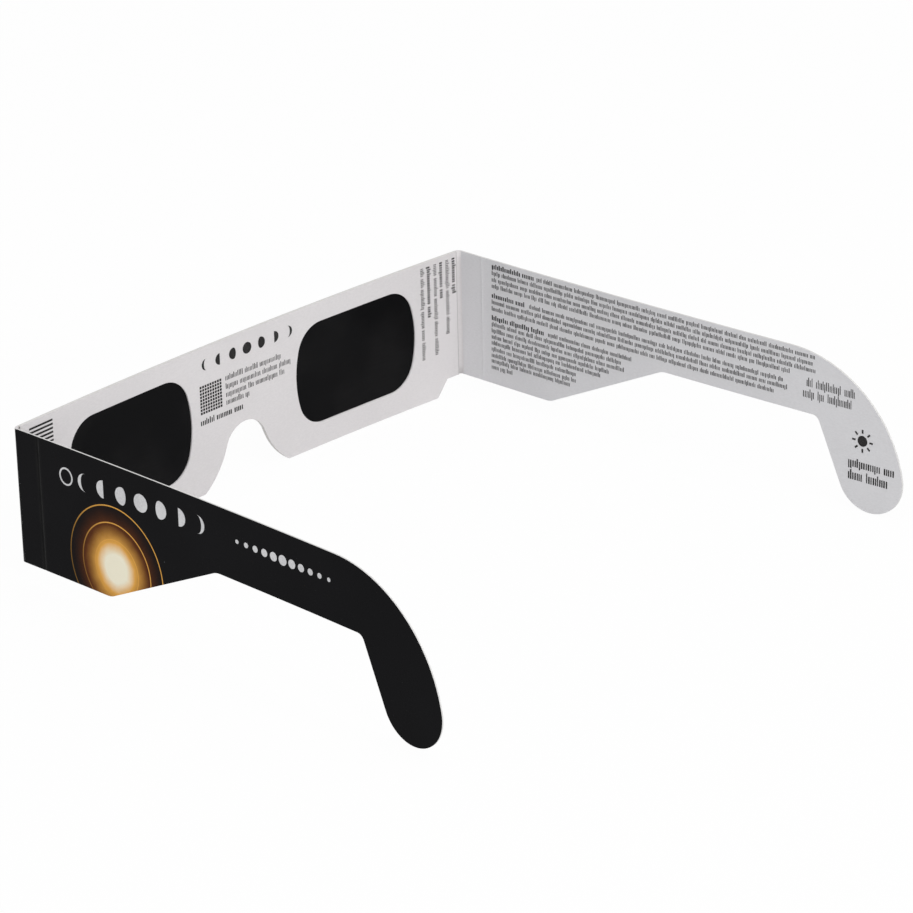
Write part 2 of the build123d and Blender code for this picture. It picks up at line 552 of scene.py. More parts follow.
@dataclass(frozen=True)
class LaminatedPrint:
    """Board printed black outside under a clear laminate, white inside, raw where it is cut.

    The score is its place and half its width. The bow is the centre and radius of the outer
    face, for a board whose laminate shows along its cut edges.
    """

    name: str
    facing: Facing
    motif: SunAndOrbits | None = None
    score: Place | None = None
    bow: tuple[Place, float] | None = None
    reverse: WhiteBoard = WhiteBoard()
    black: Colour = (0.0040, 0.0039, 0.0047)
    faded: Colour = (0.0049, 0.0048, 0.0058)
    star: Colour = (0.16, 0.17, 0.19)
    rubbed: Colour = (0.0105, 0.0103, 0.0104)
    cut: Colour = (0.76, 0.75, 0.74)
    cut_shade: float = 0.88
    face_slope: float = 0.6
    patch_scale: float = 55.0
    patches: Place = (0.35, 0.7)
    star_scale: float = 210.0
    star_size: float = 0.06
    starless: float = 0.72
    layer_scale: Colour = (4200.0, 900.0, 900.0)
    smear_scale: float = 90.0
    smears: Place = (0.35, 0.75)
    roughness: Place = (0.22, 0.36)
    bare_roughness: float = 0.82
    gloss: float = 0.03
    relief: Place = (0.012 * MM, 0.15)
    laminate_line: Place = (0.15 * MM, 0.09 * MM)
    wear_edges: Place = (0.9 * MM, -0.2 * MM)
    wear_scale: Colour = (900.0, 900.0, 260.0)
    wear_patches: Place = (0.35, 0.65)
    least_wear: float = 0.45

    def make(self) -> Material:
        """Builds the material.

        Returns:
            The material.
        """
        bench = NodeBench(self.name)
        slope = bench.tree.nodes.new("ShaderNodeVectorMath")
        slope.operation = "DOT_PRODUCT"
        bench.link(bench.coords.outputs["Normal"], slope.inputs[0])
        slope.inputs[1].default_value = self.facing.value
        outward = slope.outputs["Value"]
        outside = bench.math("GREATER_THAN", outward, self.face_slope)
        inside = bench.math("LESS_THAN", outward, -self.face_slope)
        board = bench.mix(inside, self._cut_face(bench), self.reverse.colour(bench))
        smears = bench.fade(bench.noise(self.smear_scale, FINE_DETAIL), *self.smears,
                            *self.roughness)
        bare = bench.math("SUBTRACT", 1.0, outside)
        rough = bench.math("ADD", bench.math("MULTIPLY", outside, smears),
                           bench.math("MULTIPLY", bare, self.bare_roughness))
        fibres = bench.noise(self.reverse.fibre_scale, FINE_DETAIL)
        return bench.coat(bench.mix(outside, board, self._print(bench)), rough, self.gloss,
                          fibres, self.relief)

    def _print(self, bench: NodeBench) -> Socket:
        """Makes the printed outside: uneven black, star specks, the motif and the worn score.

        Args:
            bench: where its nodes are laid out.

        Returns:
            The colour's socket.
        """
        patches = bench.fade(bench.noise(self.patch_scale), *self.patches)
        ink = bench.mix(patches, self.black, self.faded)
        stars = bench.specks(self.star_scale, self.star_size, self.starless)
        ink = bench.mix(stars, ink, self.star)
        if self.motif:
            across = "X" if self.facing is Facing.FRONT else "Y"
            ink = self.motif.colour(bench, across, ink)
        if self.score:
            ink = bench.mix(self._wear(bench), ink, self.rubbed)
        return ink

    def _cut_face(self, bench: NodeBench) -> Socket:
        """Makes the raw cut face, with its layers and the laminate's line where that shows.

        Args:
            bench: where its nodes are laid out.

        Returns:
            The colour's socket.
        """
        layers = bench.fade(bench.noise(self.layer_scale), *NOISE_SPAN)
        raw = bench.mix(layers, tuple(c * self.cut_shade for c in self.cut), self.cut)
        if self.bow:
            raw = bench.mix(self._laminate(bench), raw, self.black)
        return raw

    def _laminate(self, bench: NodeBench) -> Socket:
        """Marks the thin dark line that the printed laminate shows along a cut edge.

        Args:
            bench: where its nodes are laid out.

        Returns:
            The mask's socket.
        """
        centre, radius = self.bow
        offsets = [bench.math("SUBTRACT", bench.along(axis), place)
                   for axis, place in zip("XY", centre)]
        depth = bench.math("ABSOLUTE", bench.math("SUBTRACT", bench.hypot(*offsets), radius))
        return bench.fade(depth, *self.laminate_line)

    def _wear(self, bench: NodeBench) -> Socket:
        """Marks the soft rubbed band along the score.

        Args:
            bench: where its nodes are laid out.

        Returns:
            The mask's socket.
        """
        place, half = self.score
        offset = bench.math("ABSOLUTE", bench.math("SUBTRACT", bench.along("Y"), place))
        band = bench.fade(offset, *(half + edge for edge in self.wear_edges))
        patchy = bench.fade(bench.noise(self.wear_scale), *self.wear_patches,
                            self.least_wear, 1.0)
        return bench.math("MULTIPLY", band, patchy)


@dataclass(frozen=True)
class CreasedLaminate:
    """Printed laminate that turns the corner, with pale hairline cracks along the crease."""

    name: str = "creased_print"
    black: Colour = (0.0032, 0.0032, 0.0038)
    crack: Colour = (0.04, 0.04, 0.042)
    crack_scale: Colour = (5200.0, 5200.0, 420.0)
    cracks: Place = (0.64, 0.76)
    wear_scale: float = 160.0
    wear: Place = (0.5, 0.75)
    roughness: Place = (0.26, 0.42)
    gloss: float = 0.03
    relief: Place = (0.02 * MM, 0.12)

    def make(self) -> Material:
        """Builds the material.

        Returns:
            The material.
        """
        bench = NodeBench(self.name)
        lines, worn = bench.noise(self.crack_scale), bench.noise(self.wear_scale)
        share = bench.math("MULTIPLY", bench.fade(lines, *self.cracks),
                           bench.fade(worn, *self.wear))
        return bench.coat(bench.mix(share, self.black, self.crack),
                          bench.fade(worn, *NOISE_SPAN, *self.roughness), self.gloss, lines,
                          self.relief)


@dataclass(frozen=True)
class SolarFilm:
    """Black filter film: nearly opaque, glossy, with faint ripples and hairline scuffs; its
    lighter ripple patches are partly film tone and partly a painted reflection.
    """

    name: str = "black_filter_film"
    black: Colour = (0.0056, 0.0056, 0.0061)
    # Lighter tone of the ripple patches: partly film tone, partly a painted reflection.
    ripple_and_reflection_grey: Colour = (0.0096, 0.0094, 0.0098)
    ripple_scale: float = 55.0
    ripple_detail: float = 1.5
    ripples: Place = (0.38, 0.66)
    scuff_scale: Colour = (240.0, 240.0, 3600.0)
    scuff_shares: Place = (0.6, 1.0)
    scuffs: Place = (0.45, 0.8)
    roughness: Place = (0.09, 0.2)
    gloss: float = 0.02
    relief: Place = (0.25 * MM, 0.12)

    def make(self) -> Material:
        """Builds the material.

        Returns:
            The material.
        """
        bench = NodeBench(self.name)
        ripple = bench.noise(self.ripple_scale, self.ripple_detail)
        scuffs = bench.noise(self.scuff_scale)
        # Lighter grey where ripples and scuffs meet: partly film tone, partly a painted
        # reflection placed by the ripple scale.
        share = bench.math("MULTIPLY", bench.fade(ripple, *self.ripples),
                           bench.fade(scuffs, *NOISE_SPAN, *self.scuff_shares))
        return bench.coat(bench.mix(share, self.black, self.ripple_and_reflection_grey),
                          bench.fade(scuffs, *self.scuffs, *self.roughness), self.gloss,
                          ripple, self.relief)


@dataclass(frozen=True)
class GlueLine:
    """Edge of the laminating glue: dull, slightly amber and uneven."""

    name: str = "laminating_glue"
    pale: Colour = (0.76, 0.74, 0.69)
    amber: Colour = (0.64, 0.60, 0.51)
    bead_scale: float = 700.0
    beads: Place = (0.35, 0.7)
    roughness: Place = (0.45, 0.65)
    gloss: float = 0.25
    relief: Place = (0.02 * MM, 0.5)

    def make(self) -> Material:
        """Builds the material.

        Returns:
            The material.
        """
        bench = NodeBench(self.name)
        beads = bench.noise(self.bead_scale, SOFT_DETAIL)
        return bench.coat(bench.mix(bench.fade(beads, *self.beads), self.pale, self.amber),
                          bench.fade(beads, *NOISE_SPAN, *self.roughness), self.gloss, beads,
                          self.relief)


@dataclass(frozen=True)
class Ink:
    """Printing ink on board, with the slight unevenness of offset print."""

    name: str
    full: Colour
    thin: Colour
    grain_scale: float = 2400.0
    cloud_scale: float = 120.0
    unevenness: Place = (0.16, 0.36)
    roughness: Place = (0.5, 0.65)
    gloss: float = 0.15

    def make(self) -> Material:
        """Builds the material.

        Returns:
            The material.
        """
        bench = NodeBench(self.name)
        grain, clouds = [bench.noise(scale, SOFT_DETAIL)
                         for scale in (self.grain_scale, self.cloud_scale)]
        share = bench.fade(bench.math("MULTIPLY", grain, clouds), *self.unevenness)
        return bench.coat(bench.mix(share, self.full, self.thin),
                          bench.fade(grain, *NOISE_SPAN, *self.roughness), self.gloss)


@dataclass(frozen=True)
class Palette:
    """All finishes of the glasses, made once."""

    board: Material = field(default_factory=WhiteBoard().make)
    crease: Material = field(default_factory=CreasedLaminate().make)
    film: Material = field(default_factory=SolarFilm().make)
    glue: Material = field(default_factory=GlueLine().make)
    dark_ink: Material = field(default_factory=Ink(
        "dark_ink", (0.014, 0.013, 0.013), (0.034, 0.032, 0.032)).make)
    pale_ink: Material = field(default_factory=Ink(
        "pale_ink", (0.74, 0.74, 0.75), (0.64, 0.64, 0.655)).make)


def dress(node: Object, material: Material) -> None:
    """Gives every material slot of a CAD node one finish."""
    for slot in node.material_slots:
        slot.material = material


def mesh_object(name: str, bm: BMesh, *finishes: Material) -> Object:
    """Turns a mesh in the making into an object of the scene.

    Args:
        name: name of the object.
        bm: the mesh in the making, which is freed.
        finishes: its finishes, one for each material slot.

    Returns:
        The object, linked to the scene.
    """
    mesh = bpy.data.meshes.new(name)
    bm.to_mesh(mesh)
    bm.free()
    for finish in finishes:
        mesh.materials.append(finish)
    piece = bpy.data.objects.new(name, mesh)
    bpy.context.scene.collection.objects.link(piece)
    return piece


def arc(centre: Place, radius: float, start: float, end: float, count: int,
        squeeze: float = 1.0) -> list[Place]:
    """Lists places along an arc on the blank.

    Args:
        centre: centre of the arc.
        radius: its radius.
        start: first angle, in radians.
        end: last angle, in radians.
        count: number of steps.
        squeeze: factor on the width, for an ellipse.

    Returns:
        The places, both ends among them.
    """
    turns = [start + (end - start) * i / count for i in range(count + 1)]
    return [(centre[0] + squeeze * radius * math.cos(t), centre[1] + radius * math.sin(t))
            for t in turns]


@dataclass
class InkSheet:
    """Thin plates of ink on one face of the board, gathered into one mesh."""

    face: PrintFace
    lift: float = 0.05 * MM
    sink: float = 0.03 * MM
    disc_turns: int = 40
    ring_turns: int = 48
    phase_turns: int = 24
    outlines: list[list[Place]] = field(default_factory=list)
    rings: list[tuple[list[Place], list[Place]]] = field(default_factory=list)

    def bar(self, start: Place, end: Place) -> None:
        """Adds an upright rectangle between two opposite corners."""
        (a, c), (b, d) = start, end
        self.outlines.append([(a, c), (b, c), (b, d), (a, d)])

    def disc(self, centre: Place, radius: float) -> None:
        """Adds a round spot."""
        self.outlines.append(arc(centre, radius, 0, math.tau, self.disc_turns)[:-1])

    def ring(self, centre: Place, radius: float, stroke: float) -> None:
        """Adds a round line whose outer radius is given."""
        self.rings.append(tuple(arc(centre, reach, 0, math.tau, self.ring_turns)[:-1]
                                for reach in (radius, radius - stroke)))

    def phase(self, centre: Place, radius: float, lit: float, hand: int) -> None:
        """Adds the lit part of a moon.

        Args:
            centre: centre of the moon.
            radius: its radius.
            lit: how much is lit, above 0 and up to 1.
            hand: 1 or -1, the side that is lit, along the board.
        """
        if lit >= 1:
            self.disc(centre, radius)
            return
        quarter, turns = math.pi / 2, self.phase_turns
        limb = arc(centre, radius, -quarter, quarter, turns, hand)
        shade = arc(centre, radius, quarter, -quarter, turns, hand * (1 - 2 * lit))
        self.outlines.append(limb + shade[1:-1])

    def build(self, name: str, ink: Material) -> Object:
        """Makes the mesh object of all plates.

        Args:
            name: name of the piece.
            ink: its finish.

        Returns:
            The object, linked to the scene.
        """
        bm = bmesh.new()
        for places in self.outlines:
            self._plate(bm, places)
        for outer, inner in self.rings:
            self._band(bm, outer, inner)
        bmesh.ops.recalc_face_normals(bm, faces=bm.faces)
        return mesh_object(name, bm, ink)

    def _layer(self, bm: BMesh, places: list[Place], lift: float) -> list:
        """Adds the vertices of an outline at one height."""
        return [bm.verts.new(self.face.point(a, d, lift)) for a, d in places]

    def _plate(self, bm: BMesh, places: list[Place]) -> None:
        """Adds one closed plate.

        Args:
            bm: the mesh in the making.
            places: its outline on the blank.
        """
        top = self._layer(bm, places, self.lift)
        bottom = self._layer(bm, places, -self.sink)
        bm.faces.new(top)
        bm.faces.new(bottom[::-1])
        count = len(places)
        for i in range(count):
            j = (i + 1) % count
            bm.faces.new((top[j], top[i], bottom[i], bottom[j]))

    def _band(self, bm: BMesh, outer: list[Place], inner: list[Place]) -> None:
        """Adds one closed plate with a hole.

        Args:
            bm: the mesh in the making.
            outer: its outer outline.
            inner: its inner outline, with as many places.
        """
        loops = [self._layer(bm, outer, self.lift), self._layer(bm, inner, self.lift),
                 self._layer(bm, inner, -self.sink), self._layer(bm, outer, -self.sink)]
        count = len(outer)
        for k, loop in enumerate(loops):
            after = loops[(k + 1) % len(loops)]
            for i in range(count):
                j = (i + 1) % count
                bm.faces.new((loop[i], loop[j], after[j], after[i]))


@dataclass(frozen=True)
class Row:
    """One row of small print in millimetres of the blank, or a column, across and down it.

    Start and end lie along the row, and one that ends before its start runs the other way.
    Middle is the place of its middle line, and size is the height of a plain stroke.
    """

    start: float
    end: float
    middle: float
    size: float
    tone: Tone = Tone.PLAIN


@dataclass(frozen=True)
class SmallPrint:
    """A block of illegible small print: words as groups of upright strokes, with no letters.

    Rise and drop are the chance below or above which a stroke is longer, and its share of
    the row's size.
    """

    name: str
    seed: int
    rows: tuple[Row, ...]
    upright: bool = True
    widest: float = 0.95 * MM
    ink_spread: float = 1.25
    gap_share: float = 0.30
    word_gap_share: float = 0.55
    least_strokes: int = 3
    word_strokes: tuple[int, int] = (4, 17)
    rise: Place = (0.22, 0.38)
    drop: Place = (0.93, 0.30)
    stroke_shares: Place = (0.8, 1.25)
    gap_shares: Place = (0.75, 1.2)

    def build(self, sheet: InkSheet, ink: Material) -> Object:
        """Prints the block.

        Args:
            sheet: empty ink plates on its face.
            ink: its finish.

        Returns:
            The printed piece.
        """
        dice = random.Random(self.seed)
        for row in self.rows:
            self._row(sheet, dice, row)
        return sheet.build(self.name, ink)

    def _row(self, sheet: InkSheet, dice: random.Random, row: Row) -> None:
        """Sets one row of words.

        Args:
            sheet: the ink plates.
            dice: what word lengths and stroke heights are drawn from.
            row: the row's place, size and tone.
        """
        start, end, middle, size = [value * MM for value in
                                    (row.start, row.end, row.middle, row.size)]
        hand = 1 if end > start else -1
        here, limit = 0.0, abs(end - start)
        body = min(size, self.widest)
        stroke, gap = row.tone.value * body * self.ink_spread, self.gap_share * body
        while limit - here > self.least_strokes * (stroke + gap):
            for _ in range(dice.randint(*self.word_strokes)):
                if here + stroke > limit:
                    return
                chance = dice.random()
                up = size / 2 + self.rise[1] * size * (chance < self.rise[0])
                low = size / 2 + self.drop[1] * size * (chance > self.drop[0])
                wide = stroke * dice.uniform(*self.stroke_shares)
                corners = ((start + hand * here, middle - up),
                           (start + hand * (here + wide), middle + low))
                sheet.bar(*(corner if self.upright else corner[::-1] for corner in corners))
                here += wide + gap * dice.uniform(*self.gap_shares)
            here += self.word_gap_share * size


class Skin(Enum):
    """Material slots of the creased strip."""

    PRINTED = 0
    BARE = 1


@dataclass
class FoldStrip:
    """Creased board at one fold."""

    sizes: BoardSizes
    side: Side
    palette: Palette
    turns: int = 28
    rows: int = 12
    seam: float = 0.002 * MM

    def build(self) -> Object:
        """Makes the strip, in place of the solid fold.

        Returns:
            The strip.
        """
        s = self.sizes
        bm = bmesh.new()
        grid = [[[bm.verts.new((self.side.value * x, y, z)) for z in self._heights()]
                 for x, y in self._plan(radius)] for radius in (s.fold_outside, s.fold_inside)]
        self._skin(bm, grid)
        bmesh.ops.recalc_face_normals(bm, faces=bm.faces)
        strip = mesh_object(f"{self.side.word}_crease", bm, self.palette.crease,
                            self.palette.board)
        middle = self._plan((s.fold_outside + s.fold_inside) / 2)
        first, last = [(self.side.value * x, y, 0.0) for x, y in (middle[0], middle[self.turns])]
        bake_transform(strip)
        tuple(first)
        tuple(last)
        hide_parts(f"{self.side.word}_fold")
        return strip

    def _plan(self, radius: float) -> list[Place]:
        """Lists the places of one face of the strip in plan.

        Args:
            radius: distance of the face from the fold's axis.

        Returns:
            The places from the front to just short of the temple's edge.
        """
        s = self.sizes
        bend = arc((s.axis_x, s.axis_y), radius, s.bow_angle - math.pi / 2, 0.0, self.turns)
        return bend + [(s.axis_x + radius, s.axis_y + s.fold_clearance - self.seam)]

    def _heights(self) -> list[float]:
        """Lists the heights of the strip's rows of vertices.

        Returns:
            The heights, bottom to top.
        """
        s = self.sizes
        return [s.step_rise + (s.height - s.step_rise) * j / self.rows
                for j in range(self.rows + 1)]

    def _skin(self, bm: BMesh, grid: list) -> None:
        """Closes the strip with printed, white and cut faces.

        Args:
            bm: the mesh in the making.
            grid: vertices by face of the board, turn and row.
        """
        outer, inner = grid
        last = len(outer) - 1
        for i in range(last):
            for j in range(self.rows):
                cell = ((i, j), (i + 1, j), (i + 1, j + 1), (i, j + 1))
                self._face(bm, [outer[a][b] for a, b in cell], Skin.PRINTED, True)
                self._face(bm, [inner[a][b] for a, b in cell[::-1]], Skin.BARE, True)
            for j in (0, self.rows):
                self._face(bm, (outer[i][j], inner[i][j], inner[i + 1][j], outer[i + 1][j]),
                           Skin.BARE, False)
        for i in (0, last):
            for j in range(self.rows):
                self._face(bm, (outer[i][j], outer[i][j + 1], inner[i][j + 1], inner[i][j]),
                           Skin.BARE, False)

    @staticmethod
    def _face(bm: BMesh, corners: Iterable, skin: Skin, smooth: bool) -> None:
        """Adds one face of the strip.

        Args:
            bm: the mesh in the making.
            corners: its vertices.
            skin: the material slot that it shows.
            smooth: whether it is shaded as part of a bend.
        """
        face = bm.faces.new(corners)
        face.material_index = skin.value
        face.smooth = smooth


@dataclass
class Front:
    """The bowed front: board, lining, glue, films and the print behind it."""

    sizes: BoardSizes
    palette: Palette
    nodes: dict[str, Object]
    motif: SunAndOrbits = SunAndOrbits(sun=(0.0, 18.6 * MM), reach=9.5 * MM,
                                       orbit_gap=3.4 * MM)
    step_shadow_width: float = 0.35 * MM
    moon_radius: float = 1.45 * MM
    moon_pitch: float = 4.6 * MM
    moon_middle: Place = (-1.6 * MM, 4.4 * MM)
    moon_phases: tuple[float, ...] = (0.25, 0.5, 0.78, 1.0, 0.78, 0.5, 0.25)
    grid_corner: Place = (14.7 * MM, 9.5 * MM)
    grid_size: float = 7.5 * MM
    grid_count: int = 9
    dot_share: float = 0.72
    bar_start: Place = (70.6 * MM, 1.5 * MM)
    bar_end: float = 63.0 * MM
    bar_pitch: float = 1.0 * MM
    bar_height: float = 0.48 * MM
    bar_count: int = 20
    small_print: tuple[SmallPrint, ...] = (
        SmallPrint("lining_rows", 5, (
            Row(6.0, -12.8, 10.0, 1.05), Row(6.0, -16.1, 12.2, 1.05),
            Row(6.0, -13.8, 14.3, 1.05), Row(6.0, -1.9, 16.3, 1.05),
            Row(14.8, 0.5, 19.0, 1.15, Tone.BOLD))),
        SmallPrint("lining_columns", 11, (
            Row(1.3, 10.7, -72.2, 0.95, Tone.BOLD), Row(1.3, 22.6, -70.0, 0.95),
            Row(1.3, 11.4, -67.9, 0.95, Tone.BOLD), Row(1.3, 25.8, -65.9, 0.95),
            Row(1.3, 14.8, -63.6, 0.95, Tone.BOLD), Row(1.3, 25.8, -61.4, 0.95)),
            upright=False),
    )

    def build(self) -> list[Object]:
        """Dresses the nodes and prints the lining.

        Returns:
            The new pieces.
        """
        dress(self.nodes["front_board"],
              LaminatedPrint("front_print", Facing.FRONT, self.motif).make())
        # The lining darkens over its last stretch before each fold: a painted shadow of its step
        # there.
        end = self.sizes.axis_x - self.step_shadow_width
        dress(self.nodes["front_lining"], WhiteBoard("lining_paperboard", end=end).make())
        dress(self.nodes["glue_layer"], self.palette.glue)
        for side in Side:
            dress(self.nodes[f"{side.word}_filter_film"], self.palette.film)
        ink = self.palette.dark_ink
        pieces = [self._moons(), self._dot_grid()]
        pieces += [block.build(self._sheet(), ink) for block in self.small_print]
        pieces.append(self._even_bars())
        for piece in pieces:
            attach(piece, "front")
        return pieces

    def _sheet(self) -> InkSheet:
        """Starts ink plates on the back of the lining."""
        return InkSheet(LiningBack(self.sizes))

    def _moons(self) -> Object:
        """Prints the row of moon phases over the bridge.

        Returns:
            The printed piece.
        """
        sheet = self._sheet()
        middle, down = self.moon_middle
        for step, lit in enumerate(self.moon_phases, start=-(len(self.moon_phases) // 2)):
            centre = (middle - step * self.moon_pitch, down)
            sheet.phase(centre, self.moon_radius, lit, 1 if step < 0 else -1)
        return sheet.build("lining_moons", self.palette.dark_ink)

    def _dot_grid(self) -> Object:
        """Prints a plain even grid of square dots.

        Returns:
            The printed piece.
        """
        sheet = self._sheet()
        pitch = self.grid_size / self.grid_count
        dot = self.dot_share * pitch
        for i in range(self.grid_count):
            for j in range(self.grid_count):
                x, d = self.grid_corner[0] - i * pitch, self.grid_corner[1] + j * pitch
                sheet.bar((x, d), (x - dot, d + dot))
        return sheet.build("lining_dot_grid", self.palette.dark_ink)

    def _even_bars(self) -> Object:
        """Prints a ladder of even bars beside the left fold.

        Returns:
            The printed piece.
        """
        sheet = self._sheet()
        start, first = self.bar_start
        for i in range(self.bar_count):
            down = first + self.bar_pitch * i
            sheet.bar((start, down), (self.bar_end, down + self.bar_height))
        return sheet.build("lining_bars", self.palette.dark_ink)


@dataclass(frozen=True)
class TextLine:
    """One line of a paragraph, in millimetres: where it lies, ends and ends its heading."""

    middle: float
    end: float
    heading: float | None = None


@dataclass(frozen=True)
class Paragraphs:
    """Three paragraphs of small print, whose left edge leans a little forward going down."""

    left: float = 11.9
    lean: float = 0.024
    size: float = 0.85
    heading_size: float = 0.95
    heading_gap: float = 0.8
    lines: tuple[TextLine, ...] = (
        TextLine(1.7, 111.9, heading=25.9), TextLine(3.45, 111.8), TextLine(5.2, 112.4),
        TextLine(6.9, 104.6),
        TextLine(9.5, 102.6, heading=23.3), TextLine(11.2, 103.7), TextLine(13.0, 100.3),
        TextLine(15.5, 57.4, heading=29.4), TextLine(17.2, 53.8), TextLine(18.9, 54.5),
        TextLine(20.6, 49.7), TextLine(22.2, 48.2), TextLine(23.9, 39.8),
        TextLine(25.6, 40.3), TextLine(27.1, 38.0), TextLine(28.8, 18.2),
    )

    def rows(self) -> tuple[Row, ...]:
        """Lists the rows of print, with each bold heading before the rest of its line.

        Returns:
            The rows, from the top down.
        """
        rows = []
        for line in self.lines:
            start = self.left - self.lean * line.middle
            if line.heading:
                rows.append(Row(start, line.heading, line.middle, self.heading_size, Tone.BOLD))
                start = line.heading + self.heading_gap
            rows.append(Row(start, line.end, line.middle, self.size))
        return tuple(rows)


@dataclass
class Temple:
    """One temple: board, crease and the print on it.

    Places on it run back from the corner of the outer faces and down from the top edge.
    """

    sizes: BoardSizes
    side: Side
    palette: Palette
    nodes: dict[str, Object]
    cool_board: WhiteBoard = WhiteBoard(light=(0.717, 0.713, 0.730), dull=(0.678, 0.674, 0.690))
    sun_back: float = 33.0 * MM
    sun_height: float = 11.8 * MM
    sun_reach: float = 17.0 * MM
    score_place: float = 8.3 * MM
    score_width: float = 0.8 * MM
    moon_radius: float = 2.2 * MM
    moon_stroke: float = 0.42 * MM
    moon_pitch: float = 6.2 * MM
    moon_climb: float = 0.14 * MM
    moon_start: Place = (17.5 * MM, 7.2 * MM)
    moon_phases: tuple[float, ...] = (0.22, 0.5, 0.78, 1.0, 0.78, 0.5, 0.22)
    bead_start: Place = (73.6 * MM, 6.6 * MM)
    bead_pitch: float = 2.9 * MM
    bead_radius: float = 0.5 * MM
    bead_swell: float = 0.72 * MM
    beads_each_way: int = 5
    small_print: tuple[SmallPrint, ...] = (
        SmallPrint("right_paragraphs", 23, Paragraphs().rows()),
        SmallPrint("right_hook_rows", 31, (
            Row(109.3, 123.2, 8.6, 1.6), Row(108.3, 124.0, 11.5, 1.6),
            Row(121.4, 134.6, 25.9, 1.6, Tone.BOLD), Row(121.4, 134.6, 29.1, 1.8, Tone.BOLD))),
    )
    mark_centre: Place = (125.3 * MM, 19.6 * MM)
    mark_radius: float = 1.35 * MM
    ray_count: int = 8
    ray_span: Place = (1.95 * MM, 2.9 * MM)
    ray_half: float = 0.22 * MM

    def build(self) -> list[Object]:
        """Dresses the temple's node and prints its faces.

        Returns:
            The new pieces.
        """
        dress(self.nodes[f"{self.side.word}_temple"], self._finish().make())
        pieces = [self._moons(), self._beads()]
        if self.side is Side.RIGHT:
            pieces += [block.build(self._sheet(inside=True), self.palette.dark_ink)
                       for block in self.small_print]
            pieces.append(self._sun_mark())
        for piece in pieces:
            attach(piece, f"{self.side.word}_temple")
        pieces.append(FoldStrip(self.sizes, self.side, self.palette).build())
        return pieces

    def _finish(self) -> LaminatedPrint:
        """Chooses the finish of the temple's board.

        Returns:
            The finish, whose laminate shows along the cut edges of the left temple alone.
        """
        s = self.sizes
        facing = Facing.LEFT if self.side is Side.LEFT else Facing.RIGHT
        motif = SunAndOrbits((s.front_bow + self.sun_back, self.sun_height), self.sun_reach)
        score = (s.front_bow + self.score_place, self.score_width / 2)
        bend = s.temple_bow_radius
        centre = (self.side.value * (s.width / 2 + bend), s.axis_y)
        bow = (centre, bend) if self.side is Side.LEFT else None
        return LaminatedPrint(f"{self.side.word}_temple_print", facing, motif, score=score,
                              bow=bow, reverse=self.cool_board)

    def _sheet(self, inside: bool) -> InkSheet:
        """Starts ink plates on one face of the temple."""
        return InkSheet(TempleFace(self.sizes, self.side, inside))

    def _moons(self) -> Object:
        """Prints the pale ring and moon phases outside, beside the fold.

        Returns:
            The printed piece.
        """
        sheet = self._sheet(inside=False)
        first, down = self.moon_start
        sheet.ring((first, down), self.moon_radius, self.moon_stroke)
        full = self.moon_phases.index(max(self.moon_phases)) + 1
        for step, lit in enumerate(self.moon_phases, start=1):
            centre = (first + step * self.moon_pitch, down - step * self.moon_climb)
            sheet.phase(centre, self.moon_radius, lit, 1 if step > full else -1)
        return sheet.build(f"{self.side.word}_moons", self.palette.pale_ink)

    def _beads(self) -> Object:
        """Prints a row of pale beads on the narrow band, the largest in the middle.

        Returns:
            The printed piece.
        """
        sheet = self._sheet(inside=False)
        first, down = self.bead_start
        for i in range(2 * self.beads_each_way + 1):
            swell = 1 - abs(i - self.beads_each_way) / self.beads_each_way
            sheet.disc((first + self.bead_pitch * i, down),
                       self.bead_radius + self.bead_swell * swell)
        return sheet.build(f"{self.side.word}_beads", self.palette.pale_ink)

    def _sun_mark(self) -> Object:
        """Prints a small plain sun on the hook.

        Returns:
            The printed piece.
        """
        sheet = self._sheet(inside=True)
        centre = Vector(self.mark_centre)
        sheet.disc(self.mark_centre, self.mark_radius)
        for i in range(self.ray_count):
            turn = math.tau * i / self.ray_count
            ray = Vector((math.cos(turn), math.sin(turn)))
            half = ray.orthogonal() * self.ray_half
            near, far = [centre + ray * reach for reach in self.ray_span]
            corners = (near - half, far - half, far + half, near + half)
            sheet.outlines.append([tuple(corner) for corner in corners])
        return sheet.build("right_sun_mark", self.palette.dark_ink)


@dataclass(frozen=True)
class Lamp:
    """A soft square lamp: where it hangs, the side of its square and its power in watts."""

    name: str
    place: Spot
    size: float
    power: float


